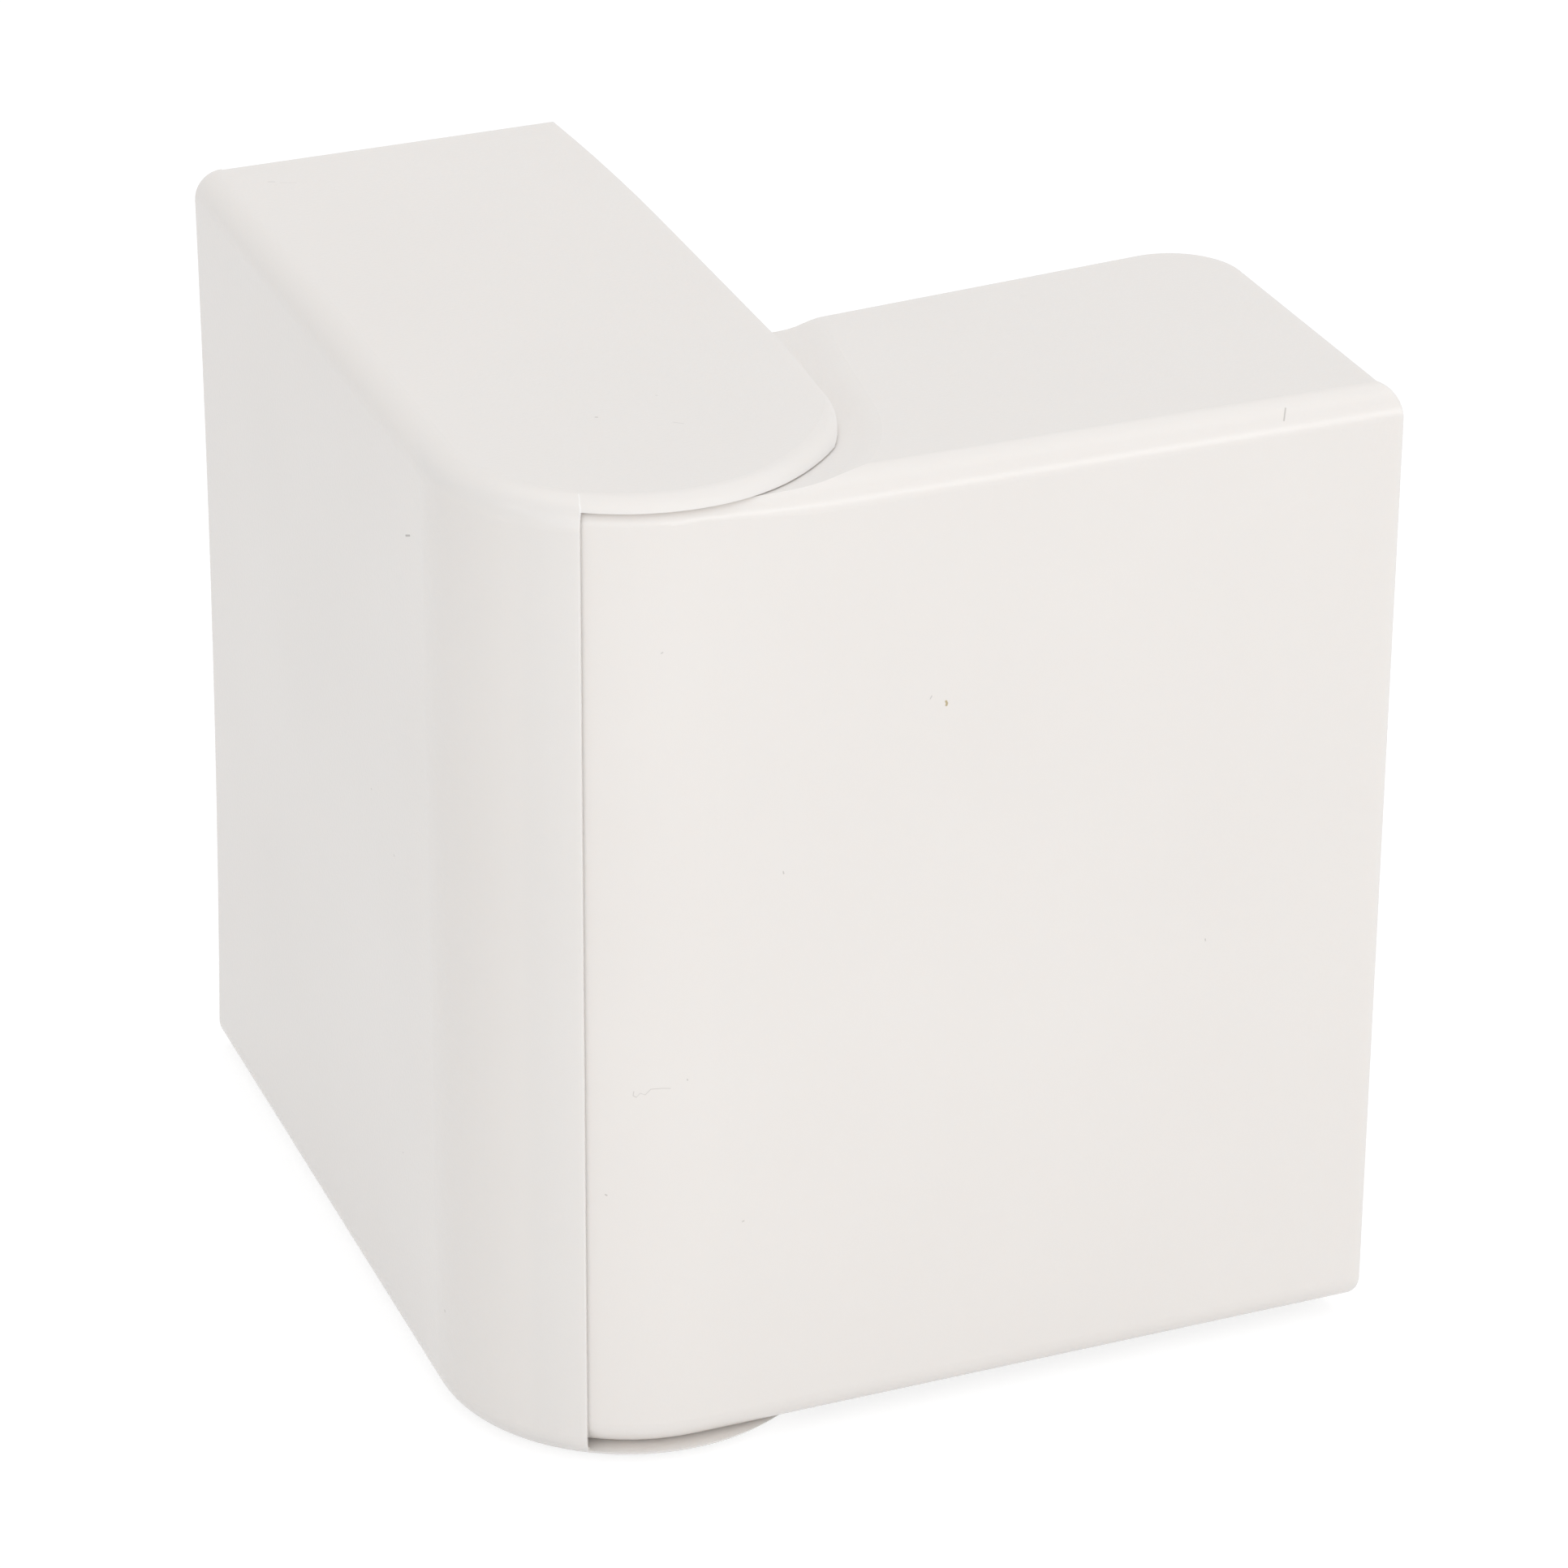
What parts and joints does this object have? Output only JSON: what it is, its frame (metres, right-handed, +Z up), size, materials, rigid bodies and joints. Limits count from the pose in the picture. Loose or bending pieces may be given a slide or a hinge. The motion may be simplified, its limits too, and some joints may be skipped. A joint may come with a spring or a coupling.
{
  "type": "adjustable external corner",
  "caption": "Adjustable external corner cover for wall trunking: two nested moulded shells hinged about the vertical corner axis.",
  "frame": {"origin": "hinge axis of the two shells, at the underside of the outer shell's lower round end", "axes": "+Z up along the hinge axis; the outer shell's arm runs along +Y with its front towards -X; the inner shell's arm runs towards +X with its front towards -Y; the building's corner lies towards +X and +Y"},
  "size_m": [0.1312, 0.1387, 0.1445],
  "materials": {
    "outer_plastic": "white, satin moulded",
    "inner_plastic": "white, satin moulded"
  },
  "bodies": {
    "outer_cover": {"outer_shell": "outer_plastic"},
    "inner_cover": {"inner_shell": "inner_plastic"}
  },
  "joints": [
    {"name": "corner_hinge", "type": "hinge", "parent": "outer_cover", "child": "inner_cover", "pos_m": [0, 0, 0.07225], "axis": [0, 0, 1], "range_deg": [-32.3, 7.7]}
  ]
}
